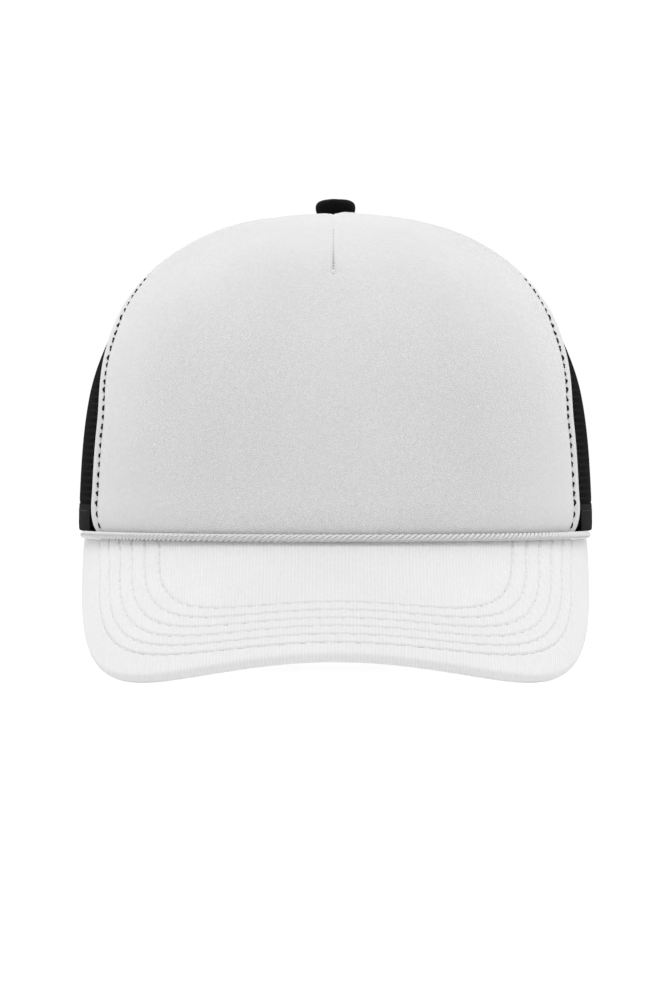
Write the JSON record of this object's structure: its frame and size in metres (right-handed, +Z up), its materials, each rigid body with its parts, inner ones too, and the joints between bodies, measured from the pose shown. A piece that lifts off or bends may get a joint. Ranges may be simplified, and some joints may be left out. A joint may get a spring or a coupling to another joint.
{
  "type": "trucker mesh cap",
  "caption": "Five-panel trucker cap with a padded front panel, mesh sides and back, a curved stitched visor with a twisted cord, a top button and a rear snap closure.",
  "frame": {"origin": "centre of the head opening, on the plane of the crown's lower edge", "axes": "+X to the wearer's left, -Y to the front (the visor's side), +Z up through the button"},
  "size_m": [0.1748, 0.2591, 0.1568],
  "materials": {
    "panel_fabric": "white closely woven cloth with a fine diagonal grain, bonded to the foam",
    "panel_foam": "white open-cell foam backing",
    "mesh_fabric": "black open hexagonal polyester mesh, slightly shiny yarn",
    "tape_fabric": "black woven twill tape",
    "sweatband_fabric": "black matt woven cotton band",
    "padding_foam": "soft non-woven padding",
    "binding_fabric": "black bias-cut woven binding",
    "visor_board": "semi-rigid moulded sheet",
    "visor_fabric": "white cloth with fine fore-and-aft ribs",
    "white_thread": "white twisted sewing thread",
    "black_thread": "black twisted sewing thread",
    "cord_yarn": "white three-strand twisted cord, slightly shiny",
    "button_fabric": "black woven cloth stretched over the button",
    "button_metal": "pressed sheet metal",
    "strap_plastic": "black moulded plastic, semi-gloss with a fine satin texture",
    "label_fabric": "white woven satin label, blank"
  },
  "bodies": {
    "crown": {"front_panel_fabric": "panel_fabric", "front_panel_foam": "panel_foam", "side_mesh_left": "mesh_fabric", "side_mesh_right": "mesh_fabric", "back_mesh_left": "mesh_fabric", "back_mesh_right": "mesh_fabric", "seam_tape_front_left": "tape_fabric", "seam_tape_front_right": "tape_fabric", "seam_tape_rear_left": "tape_fabric", "seam_tape_rear_right": "tape_fabric", "seam_tape_center_back": "tape_fabric", "sweatband": "sweatband_fabric", "sweatband_padding": "padding_foam", "hem_binding_left": "binding_fabric", "hem_binding_right": "binding_fabric", "arch_binding": "binding_fabric", "visor_board": "visor_board", "visor_top_fabric": "visor_fabric", "visor_bottom_fabric": "visor_fabric", "visor_stitching": "white_thread", "front_cord": "cord_yarn", "button_cover": "button_fabric", "button_shell": "button_metal", "button_post": "button_metal", "button_washer": "button_metal", "hole_strap_tab": "strap_plastic", "peg_strap_tab": "strap_plastic", "strap_tack_left": "black_thread", "strap_tack_right": "black_thread", "panel_stitching_left": "black_thread", "panel_stitching_right": "black_thread", "rear_stitching_left": "black_thread", "rear_stitching_right": "black_thread", "center_back_stitching": "black_thread", "hem_stitching_left": "black_thread", "hem_stitching_right": "black_thread", "dart_stitching": "white_thread"},
    "hole_strap": {"hole_strap": "strap_plastic"},
    "peg_strap": {"peg_strap": "strap_plastic"},
    "care_label": {"care_label": "label_fabric"}
  },
  "joints": [
    {"name": "hole_strap_flex", "type": "hinge", "parent": "crown", "child": "hole_strap", "pos_m": [0.03724, 0.08989, 0.01], "axis": [0, 0, -1], "range_deg": [0, 70]},
    {"name": "peg_strap_flex", "type": "hinge", "parent": "crown", "child": "peg_strap", "pos_m": [-0.0366, 0.08853, 0.01], "axis": [0, 0, -1], "range_deg": [0, 30]},
    {"name": "care_label_flap", "type": "hinge", "parent": "crown", "child": "care_label", "pos_m": [0.05496, 0.06995, 0.004], "axis": [0.6813, -0.732, 0], "range_deg": [0, 100]}
  ]
}
